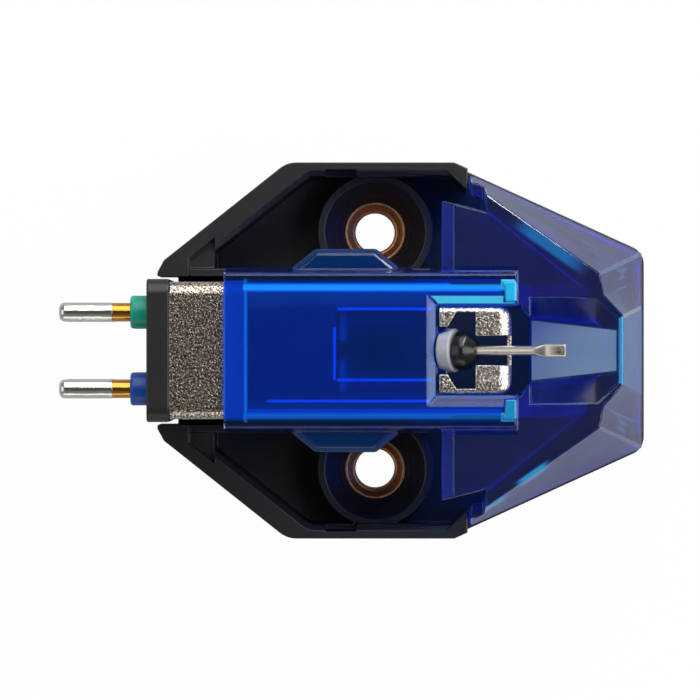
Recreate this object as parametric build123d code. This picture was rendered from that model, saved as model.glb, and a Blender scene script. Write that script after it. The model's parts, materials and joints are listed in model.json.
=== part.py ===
from build123d import *
import os
from math import cos, radians, sqrt, tan

# Moving-magnet phono cartridge, lying on its headshell face with the stylus up.
# Millimetres. The origin lies on the headshell face, midway between the two mounting
# screws. +X points to the nose, +Z from the headshell to the record.

# Where the cartridge meets the headshell and the record
screw_spacing = 12.7
tip_ahead = 9.5
tip_height = 18.0
record_clearance = 2.04
tracking_angle = 23.0

# Housing
body_width = 20.0
tail_x = -11.6
tail_tip_length = 3.05
tail_corner_x = 0.35
tail_corner_y = 0.65
tail_gap = 0.2
tail_land = 0.2
tail_recess_from = 1.7
tail_recess_depth = 0.5
shoulder_x = -4.7
waist_x = 4.2
nose_x = 14.5
nose_width = 10.6
shoulder_round = 1.4
nose_round = 1.0
plate_thickness = 1.6
skirt_top = 8.0
skirt_wall = 0.75
wing_wall_extra = 0.95
skirt_overrun = 0.7
gusset_length = 1.6
gusset_depth = 1.5
rim_bevel = 0.3
notch_x = -1.85
notch_length = 1.6
notch_depth = 0.35
boss_radius = 3.1
boss_top = 4.6
boss_web = 2.4
sink_radius = 2.7
cradle_wall = 0.42
cradle_below_sleeve = 1.4

# Threaded inserts for the mounting screws
insert_radius = 1.63
insert_length = 3.4
insert_chamfer = 0.35
thread_radius = 1.05

# Generator can
can_width = 7.2
can_rear = -10.8
can_front = 2.9
can_wall = 0.4
can_round = 0.7
can_window_rear = -2.1
can_window_width = 4.3
can_window_height = 3.7
can_overhang = 0.18

# Terminal pins and their carrier
carrier_thickness = 1.2
carrier_lip = 0.15
carrier_round = 0.8
carrier_plug_gap = 0.05
carrier_plug_length = 2.0
pin_pitch = 4.04
near_row_below_can_top = 2.9
row_pitch = 5.0
pin_radius = 0.5
pin_chamfer = 0.25
pin_length = 3.75
shank_radius = 0.33
shank_end_gap = 0.6
collar_radius = 0.87
collar_length = 0.9
collar_chamfer = 0.15

# Cores, bobbins and coils of the two channels
core_length = 11.0
core_pitch = 3.3
core_thickness = 0.8
core_leg = 0.6
core_height = 6.4
core_below_can_top = 1.2
core_gap = 0.6
bobbin_length = 5.0
bobbin_from_yoke = 1.6
bobbin_wall = 0.2
bobbin_flange = 0.3
winding_depth = 0.55
winding_inset = 0.06

# Stylus holder: sleeve, cheeks and tabs
sleeve_rear = -7.95
sleeve_gap = 0.06
sleeve_wall = 0.6
sleeve_side_wall = 0.39
sleeve_draft = 0.35
sleeve_height = 6.96
sleeve_lead_length = 1.15
sleeve_lead_depth = 0.25
sleeve_round = 0.2
sleeve_vault = 0.7
cheek_gap = 0.1
cheek_height = 3.76
bridge_thickness = 0.75
window_rear = 3.15
window_length = 4.1
window_side_gap = 0.07
window_bevel = 0.35
window_bevel_angle = 52.0
cheek_front_wall = 0.1
cheek_inner_wall = 0.42
cheek_end_wall = 0.75
clip_from = 2.55
clip_to = 3.6
clip_length = 0.6
clip_height = 0.16
clip_bar = 0.25
clip_bar_reach = 0.12
tab_x = -1.58
tab_base = 5.6
tab_tip = 3.2
tab_reach = 0.96
tab_height = 3.2
tab_chamfer = 0.3

# Stylus holder: nose
nose_step = 0.8
nose_gap = 0.15
nose_wall = 0.78
nose_roof = 0.9
nose_rear = 3.45
nose_rear_width = 16.4
nose_rear_slope = 0.62
nose_notch_x = 5.75
nose_notch_width = 14.54
nose_notch_rear_width = 16.2
nose_notch_above_skirt = 0.6
brow_x = 5.4
brow_width = 16.9
cheekbone_x = 11.7
cheekbone_width = 8.1
lip_x = 12.95
lip_width = 3.56
lip_root_x = 11.9
lip_root_width = 5.9
foot_inset = 0.1
foot_lip_share = 0.45
foot_root_share = 0.75
trough_rear = 8.1
trough_rear_depth = 2.6
trough_front_depth = 0.45
trough_floor_rear_width = 3.36
trough_floor_front_width = 2.3
trough_mouth_rear_width = 5.56
trough_mouth_front_width = 3.5
trough_shoulder_x = 11.57
trough_shoulder_width = 5.54
trough_skim = 0.05
lip_wall = 0.27
trough_wall = 0.7
trough_heel = 0.55

# Pivot bracket
bracket_sheet = 0.25
bracket_below_sleeve = 0.3
bracket_rear = 3.3
bracket_end_gap = 0.15
bracket_width = 4.72
bracket_depth = 2.5
bracket_bend = 0.7
bracket_ridge = 0.4
bracket_slot_x = 4.2
bracket_slot_length = 1.0
bracket_slot_width = 4.0
bracket_flare_width = 2.5
bracket_flare_chamfer = 0.45
bracket_lane_width = 1.54

# Suspension and cantilever, along the tilted axis from the pivot
pivot_x = 4.3
pivot_below_bracket = 0.7
ring_radius = 1.15
ring_bore = 0.6
ring_front = -0.1
ring_seat_reach = 3.0
ring_length = 0.75
damper_radius = 1.02
damper_rear = -0.03
damper_drum = 0.6
damper_length = 1.13
damper_nose_radius = 0.46
damper_play = 0.09
cantilever_radius = 0.255
cantilever_bore = 0.17
cantilever_rear = -1.5
paddle_start = 4.55
paddle_taper = 0.5
paddle_width = 0.68
paddle_sheet = 0.22
paddle_past_tip = 0.4
diamond_radius = 0.13
diamond_cone = 0.24
diamond_tip_radius = 0.018
diamond_root = 0.16
magnet_length = 1.8
magnet_width = 0.8
magnet_thickness = 0.3
magnet_front = -1.25
holder_overhang = 0.1
holder_depth = 0.7
holder_top_width = 0.2

# Places worked out from the sizes above
can_half = can_width / 2
carrier_half = can_half + carrier_lip
carrier_rear = can_rear - carrier_thickness
tail_inner = carrier_half + tail_gap
tail_half = tail_inner + tail_land
skirt_end = waist_x + skirt_overrun
sleeve_half = can_half + sleeve_gap + sleeve_side_wall + sleeve_draft
sleeve_top = tip_height - record_clearance
sleeve_bottom = sleeve_top - sleeve_height
cheek_bottom = sleeve_top - cheek_height
can_top = sleeve_top - sleeve_wall - sleeve_gap
cradle_top = sleeve_bottom - cradle_below_sleeve
window_front = window_rear + window_length
nose_top = sleeve_top - nose_step
nose_bottom = plate_thickness + nose_gap
bracket_top = sleeve_top - bracket_below_sleeve
bracket_front = window_front - bracket_end_gap
window_width = bracket_width + 2 * window_side_gap
core_rear = can_rear + carrier_plug_length
core_front = core_rear + core_length
core_top = can_top - core_below_can_top
core_bottom = core_top - core_height
paddle_top = tip_height - diamond_cone
pivot_height = bracket_top - pivot_below_bracket
paddle_end = (tip_ahead - pivot_x) / cos(radians(tracking_angle)) + paddle_past_tip

# Room that a cutting shape reaches past the face that it cuts
past = 1.0
# Share of a narrow face that a rounding may take
round_share = 0.9


def block(x0, x1, y0, y1, z0, z1):
    """Box between two corners."""
    centre = Pos((x0 + x1) / 2, (y0 + y1) / 2, (z0 + z1) / 2)
    return centre * Box(x1 - x0, y1 - y0, z1 - z0)


def mirrored(half):
    """Closed outline, counter-clockwise, from its +Y half listed from the tail to the nose."""
    return [(x, -y) for x, y in half] + half[::-1]


def tube_section(x, width, bottom, top, corner):
    """Rounded rectangle across the X axis."""
    return Plane.YZ.offset(x) * Pos(0, (bottom + top) / 2) * RectangleRounded(width, top - bottom, corner)


def turned(profile):
    """Body turned about the X axis from (x, radius) points."""
    return revolve(Plane.XZ * Polygon(*profile, align=None), axis=Axis.X)


def on_pivot(piece):
    """Piece drawn along X about the pivot, set at the tracking angle."""
    return Pos(pivot_x, 0, pivot_height) * Rot(0, -tracking_angle, 0) * piece


def body_outline():
    """Six-sided plan of the housing with rounded shoulders and nose corners."""
    half = [
        (tail_x, tail_half),
        (tail_x + tail_corner_x, tail_half + tail_corner_y),
        (shoulder_x, body_width / 2),
        (waist_x, body_width / 2),
        (nose_x, nose_width / 2),
    ]
    plan = Polygon(*mirrored(half), align=None)
    plan = fillet(plan.vertices().sort_by(Axis.X)[-2:], nose_round)
    shoulders = [v for v in plan.vertices() if abs(v.X - shoulder_x) < shoulder_round / 10]
    return fillet(shoulders, shoulder_round)


def housing():
    """Black moulding: top plate, skirts round the wings, screw bosses and can cradle."""
    plan = body_outline()
    inside = offset(plan, -skirt_wall)
    cavity = inside & Pos(wing_wall_extra, 0) * inside
    tail_end = tail_x + tail_tip_length
    skirts = extrude(plan - cavity, skirt_top)
    tails = extrude(plan, skirt_top)
    tails &= block(tail_x, tail_end, -body_width, body_width, 0, skirt_top)
    skirts = (skirts + tails) & block(tail_x, skirt_end, -body_width, body_width, 0, skirt_top)
    shell = extrude(plan, plate_thickness) + skirts
    recess = Pos(0, 0, skirt_top - tail_recess_depth) * inside
    shell -= extrude(recess, tail_recess_depth) & block(
        tail_x + tail_recess_from, tail_end, -body_width, body_width, 0, skirt_top
    )
    rim = Pos(0, 0, skirt_top - rim_bevel) * cavity
    shell -= extrude(rim, rim_bevel, taper=-45) & block(
        tail_end, skirt_end + past, -body_width, body_width, 0, skirt_top
    )
    inner = body_width / 2 - skirt_wall
    gusset = Polygon(
        (skirt_end - gusset_length, body_width / 2),
        (skirt_end, body_width / 2 - gusset_depth),
        (skirt_end, body_width / 2),
        align=None,
    )
    gusset = extrude(gusset & plan, skirt_top)
    shell += gusset + mirror(gusset, Plane.XZ)
    for side in (1, -1):
        notch = block(-notch_length / 2, notch_length / 2, 0, notch_depth, boss_top, skirt_top + past)
        shell -= Pos(notch_x, side * inner, 0) * Rot(0, 0, 90 - 90 * side) * notch
        cradle = block(can_rear, can_front, 0, cradle_wall, plate_thickness, cradle_top)
        shell += Pos(0, side * tail_inner - (1 - side) / 2 * cradle_wall, 0) * cradle
        boss = Pos(0, side * screw_spacing / 2, 0) * Cylinder(
            boss_radius, boss_top, align=(Align.CENTER, Align.CENTER, Align.MIN)
        )
        web = block(-boss_web / 2, boss_web / 2, screw_spacing / 2, inner + skirt_wall / 2, 0, boss_top)
        shell += boss & block(-body_width, body_width, -inner, inner, 0, boss_top)
        shell += web if side > 0 else mirror(web, Plane.XZ)
    shell -= block(tail_x - past, can_front, -tail_inner, tail_inner, plate_thickness, skirt_top + past)
    shell -= block(tail_x - past, can_rear + can_overhang, -tail_inner, tail_inner, -past, skirt_top)
    for side in (1, -1):
        seat = Cylinder(insert_radius, boss_top, align=(Align.CENTER, Align.CENTER, Align.MIN))
        sink = Pos(0, 0, insert_length) * Cone(
            insert_radius, sink_radius, boss_top - insert_length,
            align=(Align.CENTER, Align.CENTER, Align.MIN),
        )
        shell -= Pos(0, side * screw_spacing / 2, 0) * (seat + sink)
    return shell


def thread_inserts():
    """Two brass inserts, pressed in flush with the headshell face."""
    seat = Cylinder(insert_radius, insert_length, align=(Align.CENTER, Align.CENTER, Align.MIN))
    bore = Cylinder(thread_radius, insert_length, align=(Align.CENTER, Align.CENTER, Align.MIN))
    insert = seat - bore
    insert = chamfer(insert.edges().group_by(Axis.Z)[-1].sort_by(SortBy.RADIUS)[:1], insert_chamfer)
    return Compound([Pos(0, side * screw_spacing / 2, 0) * insert for side in (1, -1)])


def generator_can():
    """Drawn shield can, open at the pins, with a window for the magnets at the stylus end."""
    inner_width = can_width - 2 * can_wall
    outer = extrude(
        tube_section(can_rear, can_width, plate_thickness, can_top, can_round), can_front - can_rear
    )
    inner_length = can_front - can_wall - can_rear
    hollow = extrude(
        tube_section(
            can_rear, inner_width, plate_thickness + can_wall, can_top - can_wall, can_round - can_wall
        ),
        inner_length,
    )
    half = can_window_width / 2
    mouth = block(
        can_front - past, can_front + past, -half, half, can_top - can_window_height, can_top + past
    )
    slot = block(can_window_rear, can_front + past, -half, half, can_top - can_wall - past, can_top + past)
    return outer - hollow - mouth - slot


def pin_places():
    """Name and place of each terminal: the near row is the one that shows from the stylus side."""
    near = can_top - near_row_below_can_top
    far = near - row_pitch
    half = pin_pitch / 2
    return {"green": (half, near), "blue": (-half, near), "red": (half, far), "white": (-half, far)}


def pin_carrier():
    """Moulded terminal block: a flange behind the can and a plug inside it."""
    flange = extrude(
        tube_section(carrier_rear, 2 * carrier_half, plate_thickness, can_top, carrier_round),
        carrier_thickness,
    )
    plug_width = can_width - 2 * (can_wall + carrier_plug_gap)
    plug_bottom = plate_thickness + can_wall + carrier_plug_gap
    plug_top = can_top - can_wall - carrier_plug_gap
    plug = extrude(
        tube_section(can_rear, plug_width, plug_bottom, plug_top, can_round - can_wall),
        carrier_plug_length,
    )
    carrier = flange + plug
    for y, z in pin_places().values():
        shank = turned(
            [(carrier_rear, 0), (core_rear, 0), (core_rear, shank_radius), (carrier_rear, shank_radius)]
        )
        carrier -= Pos(0, y, z) * shank
    return carrier


def terminal_pin():
    """Turned pin: plug end with a chamfered tip, and a shank through the collar and carrier."""
    front = carrier_rear - collar_length
    rear = front - pin_length
    shank_end = core_rear - shank_end_gap
    return turned(
        [
            (rear, 0),
            (shank_end, 0),
            (shank_end, shank_radius),
            (front, shank_radius),
            (front, pin_radius),
            (rear + pin_chamfer, pin_radius),
            (rear, pin_radius - pin_chamfer),
        ]
    )


def pin_collar():
    """Coloured collar that marks one terminal."""
    rear = carrier_rear - collar_length
    collar = turned(
        [
            (rear, shank_radius),
            (carrier_rear, shank_radius),
            (carrier_rear, collar_radius),
            (rear + collar_chamfer, collar_radius),
            (rear, collar_radius - collar_chamfer),
        ]
    )
    return collar


def channel_core():
    """Laminated C-shaped core of one channel, gapped beside the magnets."""
    outer = block(core_rear, core_front, 0, core_thickness, core_bottom, core_top)
    inside = block(
        core_rear + core_leg, core_front - core_leg, -past, past + core_thickness,
        core_bottom + core_leg, core_top - core_leg,
    )
    gap_top = core_top - core_leg
    gap = block(
        core_front - core_leg, core_front + past, -past, past + core_thickness, gap_top - core_gap, gap_top
    )
    return Pos(0, (core_pitch - core_thickness) / 2, 0) * (outer - inside - gap)


def leg_ring(x0, x1, inner, outer):
    """Square ring round one core leg, grown from the leg by two depths."""
    def shape(grow, ends):
        y = (core_thickness / 2) + grow
        z = (core_leg / 2) + grow
        return block(x0 - ends, x1 + ends, -y, y, -z, z)
    return shape(outer, 0) - shape(inner, past)


def bobbin_start():
    """Rear end of the bobbins on the core legs."""
    return core_rear + core_leg + bobbin_from_yoke


def bobbin():
    """Flanged spool that slips over one core leg."""
    x0 = bobbin_start()
    x1 = x0 + bobbin_length
    rim = bobbin_wall + winding_depth
    spool = leg_ring(x0, x1, 0, bobbin_wall)
    spool += leg_ring(x0, x0 + bobbin_flange, 0, rim)
    spool += leg_ring(x1 - bobbin_flange, x1, 0, rim)
    return spool


def coil():
    """Fine copper winding between the flanges of one bobbin."""
    x0 = bobbin_start() + bobbin_flange
    x1 = bobbin_start() + bobbin_length - bobbin_flange
    return leg_ring(x0, x1, bobbin_wall, bobbin_wall + winding_depth - winding_inset)


def leg_places():
    """Centre of the upper and the lower leg of the +Y core."""
    y = core_pitch / 2
    return {"upper": (y, core_top - core_leg / 2), "lower": (y, core_bottom + core_leg / 2)}


def sleeve():
    """Channel that slides over the can, with the cheeks that hold the pivot bracket."""
    inner_half = can_half + sleeve_gap
    inner_top = can_top + sleeve_gap
    cheek_rear = can_front + cheek_gap
    cheek_front = window_front + cheek_front_wall
    top_half = sleeve_half - sleeve_draft
    section = Plane.YZ.offset(sleeve_rear) * Polygon(
        (-sleeve_half, sleeve_bottom), (sleeve_half, sleeve_bottom),
        (top_half, sleeve_top), (-top_half, sleeve_top), align=None,
    )
    channel = extrude(section, cheek_front - sleeve_rear)
    ridges = channel.edges().filter_by(Axis.X).group_by(Axis.Z)[-1]
    channel = fillet(ridges, sleeve_round)
    hollow = block(
        sleeve_rear - past, cheek_rear, -inner_half, inner_half, sleeve_bottom - past, inner_top
    )
    crown = hollow.edges().filter_by(Axis.X).group_by(Axis.Z)[-1]
    channel -= fillet(crown, sleeve_vault)
    lead_end = sleeve_rear + sleeve_lead_length
    channel -= block(
        sleeve_rear - past, lead_end, -inner_half, inner_half,
        inner_top - past, inner_top + sleeve_lead_depth,
    )
    channel -= block(
        cheek_rear - past, cheek_front + past, -sleeve_half - past, sleeve_half + past,
        sleeve_bottom - past, cheek_bottom,
    )
    half = bracket_width / 2
    pocket = block(
        cheek_rear - past, cheek_front - cheek_end_wall, half + cheek_inner_wall, inner_half,
        cheek_bottom - past, inner_top,
    )
    crown = pocket.edges().filter_by(Axis.X).group_by(Axis.Z)[-1].sort_by(Axis.Y)[-1:]
    pocket_width = inner_half - half - cheek_inner_wall
    pocket = fillet(crown, min(sleeve_vault, round_share * pocket_width))
    channel -= pocket + mirror(pocket, Plane.XZ)
    bridge_front = cheek_rear + bridge_thickness
    channel -= block(bridge_front, window_front, -half, half, cheek_bottom - past, sleeve_top + past)
    channel -= block(
        window_rear, bridge_front + past, -half, half, bracket_top - bracket_sheet, sleeve_top + past
    )
    for groove in (half - bracket_sheet, -half):
        channel -= block(
            bracket_rear, bridge_front + past, groove, groove + bracket_sheet,
            bracket_top - bracket_depth, sleeve_top + past,
        )
    mouth = Pos(window_rear + window_length / 2, 0, bracket_top) * Rectangle(window_length, window_width)
    channel -= extrude(mouth, sleeve_top - bracket_top - window_bevel)
    brim = Pos(window_rear + window_length / 2, 0, sleeve_top - window_bevel) * Rectangle(
        window_length, window_width
    )
    channel -= extrude(brim, window_bevel, taper=-window_bevel_angle)
    return channel + cheek_clips(cheek_front)


def cheek_clips(front):
    """Raised T-shaped beads across the front end of both cheeks."""
    top = sleeve_top + clip_height
    foot = sleeve_top - sleeve_wall / 2
    stem = block(front - clip_length, front, clip_from, clip_to, foot, top)
    bar = block(
        front - clip_length - clip_bar_reach, front, clip_to - clip_bar, clip_to, foot, top
    )
    clip = stem + bar
    return clip + mirror(clip, Plane.XZ)


def finger_tabs():
    """Pair of chamfered tabs on the sleeve's sides, gripped to pull the stylus off."""
    root = sleeve_half - sleeve_wall / 2
    tip = sleeve_half + tab_reach
    plan = [
        (tab_x + tab_base / 2, root),
        (tab_x + tab_base / 2, sleeve_half),
        (tab_x + tab_tip / 2, tip),
        (tab_x - tab_tip / 2, tip),
        (tab_x - tab_base / 2, sleeve_half),
        (tab_x - tab_base / 2, root),
    ]
    tab = Pos(0, 0, sleeve_bottom) * extrude(Polygon(*plan, align=None), tab_height)
    brow = [e for e in tab.edges().group_by(Axis.Z)[-1] if e.center().Y > sleeve_half + tab_reach / 4]
    tab = chamfer(brow, tab_chamfer)
    return tab + mirror(tab, Plane.XZ)


def nose_form(inset, roof):
    """Solid nose between its foot on the plate and its near face, drawn in by an inset and a roof."""
    slope = (nose_width - body_width) / 2 / (nose_x - waist_x)
    foot_x = nose_x - foot_inset

    def side(x):
        return body_width / 2 + slope * (x - waist_x) - foot_inset

    foot = [
        (nose_rear, side(waist_x)),
        (brow_x, side(brow_x)),
        (foot_x, side(foot_x)),
        (foot_x, foot_root_share * side(foot_x)),
        (foot_x, foot_lip_share * side(foot_x)),
    ]
    face = [
        (nose_rear, nose_rear_width / 2),
        (brow_x, brow_width / 2),
        (cheekbone_x, cheekbone_width / 2),
        (lip_root_x, lip_root_width / 2),
        (lip_x, lip_width / 2),
    ]

    def drawn_in(points):
        centre = brow_x
        shrunk = []
        for x, y in points:
            along = x - inset if x > centre else x
            shrunk.append((along, y - inset))
        return Polygon(*mirrored(shrunk), align=None)

    lower = Pos(0, 0, nose_bottom) * drawn_in(foot)
    upper = Pos(0, 0, nose_top - roof) * drawn_in(face)
    return loft([lower, upper], ruled=True)


def nose_notches():
    """Corners left out of the near plate, where the housing's skirts end beside it."""
    plan = Polygon(
        (nose_rear - past, nose_notch_rear_width / 2),
        (nose_notch_x, nose_notch_width / 2),
        (nose_notch_x, body_width),
        (nose_rear - past, body_width),
        align=None,
    )
    bottom = skirt_top + nose_notch_above_skirt
    notch = Pos(0, 0, bottom) * extrude(plan, nose_top - bottom)
    return notch + mirror(notch, Plane.XZ)


def trough_form(grow):
    """Sloping trough under the cantilever, grown outwards by a wall."""
    def section(x, floor_width, mouth_width, depth):
        floor = nose_top - depth - grow
        brim = nose_top + trough_skim
        spread = (mouth_width - floor_width) / 2 / depth
        floor_half = floor_width / 2 + grow
        brim_half = floor_half + spread * (brim - floor)
        points = [(-floor_half, floor), (floor_half, floor), (brim_half, brim), (-brim_half, brim)]
        return Plane.YZ.offset(x) * Polygon(*points, align=None)

    def between(rear_value, front_value, share):
        return rear_value + (front_value - rear_value) * share

    front_x = lip_x - lip_wall
    share = (trough_shoulder_x - trough_rear) / (front_x - trough_rear)
    shoulder_floor = between(trough_floor_rear_width, trough_floor_front_width, share)
    shoulder_depth = between(trough_rear_depth, trough_front_depth, share)
    sections = [
        section(trough_rear - grow, trough_floor_rear_width, trough_mouth_rear_width, trough_rear_depth),
        section(trough_shoulder_x, shoulder_floor, trough_shoulder_width, shoulder_depth),
        section(front_x + grow, trough_floor_front_width, trough_mouth_front_width, trough_front_depth),
    ]
    return loft(sections, ruled=True)


def stylus_holder():
    """Blue see-through holder: sleeve, tabs, hollow nose and trough in one moulding."""
    outer = nose_form(0, 0)
    rear_edge = outer.edges().filter_by(Axis.Y).group_by(Axis.X)[0].sort_by(Axis.Z)[-1:]
    outer = chamfer(rear_edge, nose_rear_slope)
    floor = trough_form(trough_wall) & outer
    nose = outer - nose_form(nose_wall, nose_roof)
    behind = block(
        nose_rear - past, skirt_end + nose_gap, -body_width, body_width, 0, nose_top - nose_roof
    )
    nose = nose - behind - nose_notches() + floor
    window = block(
        can_front, window_front, -bracket_width / 2, bracket_width / 2,
        cheek_bottom - past, sleeve_top + past,
    )
    holder = sleeve() + finger_tabs() + (nose - window)
    holder -= trough_form(0)
    lane_half = trough_floor_rear_width / 2
    lane = [
        (bracket_front, bracket_width / 2),
        (trough_rear - trough_heel, bracket_width / 2),
        (trough_rear, lane_half),
    ]
    lane_floor = min(cheek_bottom, nose_top - trough_rear_depth - trough_wall) - past
    holder -= Pos(0, 0, lane_floor) * extrude(
        Polygon(*mirrored(lane), align=None), sleeve_top + past - lane_floor
    )
    ring_seat = turned(
        [
            (-ring_seat_reach, 0), (ring_length, 0),
            (ring_length, ring_radius), (-ring_seat_reach, ring_radius),
        ]
    )
    return holder - on_pivot(ring_seat)


def folded(form, inset):
    """Box with its long top edges and its front top edge bent over, for the outer or inner face."""
    ridges = form.edges().filter_by(Axis.X).group_by(Axis.Z)[-1]
    form = fillet(ridges, bracket_ridge - inset)
    brow = form.edges().filter_by(Axis.Y).group_by(Axis.Z)[-1].sort_by(Axis.X)[-1:]
    return fillet(brow, bracket_bend - inset)


def pivot_bracket():
    """Folded plate with a cross-shaped window, held between the cheeks."""
    half = bracket_width / 2
    bottom = bracket_top - bracket_depth
    outer = folded(block(bracket_rear, bracket_front, -half, half, bottom, bracket_top), 0)
    inner_half = half - bracket_sheet
    inner = block(
        bracket_rear - past, bracket_front - bracket_sheet, -inner_half, inner_half,
        bottom - past, bracket_top - bracket_sheet,
    )
    bracket = outer - folded(inner, bracket_sheet)
    slot_end = bracket_slot_x + bracket_slot_length
    window = [
        (bracket_rear - past, bracket_flare_width / 2),
        (bracket_slot_x - bracket_flare_chamfer, bracket_flare_width / 2),
        (bracket_slot_x, bracket_slot_width / 2),
        (slot_end, bracket_slot_width / 2),
        (slot_end, bracket_lane_width / 2),
        (bracket_front + past, bracket_lane_width / 2),
    ]
    cut_depth = bracket_sheet + bracket_bend
    cut = extrude(Polygon(*mirrored(window), align=None), cut_depth + past)
    return bracket - Pos(0, 0, bracket_top - cut_depth) * cut


def suspension_ring():
    """Grey moulded ring that carries the rubber damper."""
    rear = ring_front - ring_length
    ring = turned(
        [(rear, ring_bore), (ring_front, ring_bore), (ring_front, ring_radius), (rear, ring_radius)]
    )
    return on_pivot(ring)


def rubber_damper():
    """Black rubber drum with a tapered nose that the cantilever passes through."""
    bore = cantilever_radius + damper_play
    front = damper_rear + damper_length
    damper = turned(
        [
            (damper_rear, bore),
            (front, bore),
            (front, damper_nose_radius),
            (damper_rear + damper_drum, damper_radius),
            (damper_rear, damper_radius),
        ]
    )
    return on_pivot(damper)


def octagon(x, width, thickness):
    """Section across the arm with its corners taken off as on a regular octagon."""
    corner = thickness / (2 + sqrt(2))
    y = width / 2
    z = thickness / 2
    half = [(-y, -z + corner), (-y + corner, -z), (y - corner, -z), (y, -z + corner)]
    return Plane.YZ.offset(x) * Polygon(*half, *[(-a, -b) for a, b in half], align=None)


def cantilever():
    """Aluminium tube, pressed flat at the end that holds the diamond."""
    tube = turned(
        [
            (cantilever_rear, cantilever_bore),
            (paddle_start, cantilever_bore),
            (paddle_start, cantilever_radius),
            (cantilever_rear, cantilever_radius),
        ]
    )
    squeeze_end = paddle_start + paddle_taper
    round_end = octagon(paddle_start, 2 * cantilever_radius, 2 * cantilever_radius)
    flat_end = octagon(squeeze_end, paddle_width, paddle_sheet)
    squeeze = loft([round_end, flat_end], ruled=True)
    paddle = extrude(flat_end, paddle_end - squeeze_end)
    arm = on_pivot(tube + squeeze + paddle)
    return arm - diamond_blank(diamond_radius)


def diamond_blank(radius):
    """Upright cylinder at the diamond's place."""
    axis_height = pivot_height + (tip_ahead - pivot_x) * tan(radians(tracking_angle))
    root = axis_height - diamond_root
    length = tip_height - diamond_cone - root
    return Pos(tip_ahead, 0, root) * Cylinder(radius, length, align=(Align.CENTER, Align.CENTER, Align.MIN))


def stylus_diamond():
    """Diamond with a conical tip, set through the flattened end."""
    point = Pos(tip_ahead, 0, paddle_top) * Cone(
        diamond_radius, diamond_tip_radius, diamond_cone, align=(Align.CENTER, Align.CENTER, Align.MIN)
    )
    return diamond_blank(diamond_radius) + point


def holder_section():
    """Trapezoid whose sides lean at 45 degrees, as (y, z) points about the cantilever."""
    top = holder_top_width / 2
    foot = top + holder_depth
    half = holder_depth / 2
    return [(-foot, -half), (foot, -half), (top, half), (-top, half)]


def magnet_holder():
    """Resin block on the cantilever's rear end that carries the two magnets."""
    rear = magnet_front - magnet_length - holder_overhang
    length = magnet_length + 2 * holder_overhang
    section = Plane.YZ.offset(rear) * Polygon(*holder_section(), align=None)
    bore = turned(
        [(rear, 0), (rear + length, 0), (rear + length, cantilever_radius), (rear, cantilever_radius)]
    )
    bore &= block(cantilever_rear, past, -past, past, -past, past)
    return on_pivot(extrude(section, length) - bore)


def magnet():
    """Bar magnet on the holder's +Y slope."""
    bar = block(
        magnet_front - magnet_length, magnet_front, -magnet_width / 2, magnet_width / 2, 0, magnet_thickness
    )
    slope_y = holder_top_width / 2 + holder_depth / 2
    return Pos(0, slope_y, 0) * Rot(-45, 0, 0) * bar


def all_pieces():
    """Every piece of the cartridge by its name."""
    pieces = {
        "housing": housing(),
        "thread_inserts": thread_inserts(),
        "generator_can": generator_can(),
        "pin_carrier": pin_carrier(),
        "stylus_holder": stylus_holder(),
        "pivot_bracket": pivot_bracket(),
        "suspension_ring": suspension_ring(),
        "rubber_damper": rubber_damper(),
        "cantilever": cantilever(),
        "stylus_diamond": stylus_diamond(),
        "magnet_holder": magnet_holder(),
        "magnet_left": on_pivot(magnet()),
        "magnet_right": on_pivot(mirror(magnet(), Plane.XZ)),
        "core_left": channel_core(),
        "core_right": mirror(channel_core(), Plane.XZ),
    }
    for colour, (y, z) in pin_places().items():
        pieces["pin_" + colour] = Pos(0, y, z) * terminal_pin()
        pieces["collar_" + colour] = Pos(0, y, z) * pin_collar()
    for level, (y, z) in leg_places().items():
        for channel, side in (("left", 1), ("right", -1)):
            pieces[f"bobbin_{channel}_{level}"] = Pos(0, side * y, z) * bobbin()
            pieces[f"coil_{channel}_{level}"] = Pos(0, side * y, z) * coil()
    return pieces


os.makedirs("parts", exist_ok=True)
for name, piece in all_pieces().items():
    export_step(piece, f"parts/{name}.step")
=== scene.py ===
# %% [markdown]
# # A phono cartridge in see-through blue
# The frame below is the cartridge as its maker would draw it: a black moulded housing, a
# plated can with four terminal pins, and a blue stylus holder that slides over the can.
# This notebook gives each of those pieces its finish and the small rounded edges that a
# mould or a press leaves, and lights them as a product photographer would.

# %% Load the frame
import json
from math import atan2, copysign, cos, pi, radians, sin

import bmesh
import bpy
from mathutils import Matrix, Vector
from mathutils.bvhtree import BVHTree


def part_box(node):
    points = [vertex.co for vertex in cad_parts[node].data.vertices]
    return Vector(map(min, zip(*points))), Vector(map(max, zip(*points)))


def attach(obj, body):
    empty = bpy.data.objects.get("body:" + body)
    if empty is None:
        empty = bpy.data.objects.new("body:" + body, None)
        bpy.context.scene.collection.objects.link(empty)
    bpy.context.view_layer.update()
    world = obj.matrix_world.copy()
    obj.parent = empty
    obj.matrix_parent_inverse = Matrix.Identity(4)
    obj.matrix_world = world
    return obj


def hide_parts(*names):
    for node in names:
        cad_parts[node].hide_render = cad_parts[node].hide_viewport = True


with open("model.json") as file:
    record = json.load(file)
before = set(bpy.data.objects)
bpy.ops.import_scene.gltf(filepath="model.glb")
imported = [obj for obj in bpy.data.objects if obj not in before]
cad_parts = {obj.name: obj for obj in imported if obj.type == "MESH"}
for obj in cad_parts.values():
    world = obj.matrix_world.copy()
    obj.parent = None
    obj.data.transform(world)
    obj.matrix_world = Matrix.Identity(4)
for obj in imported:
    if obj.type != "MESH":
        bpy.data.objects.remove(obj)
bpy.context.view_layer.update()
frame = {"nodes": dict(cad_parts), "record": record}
MM = 0.001
print("pieces in the frame:", len(frame["nodes"]))

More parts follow.
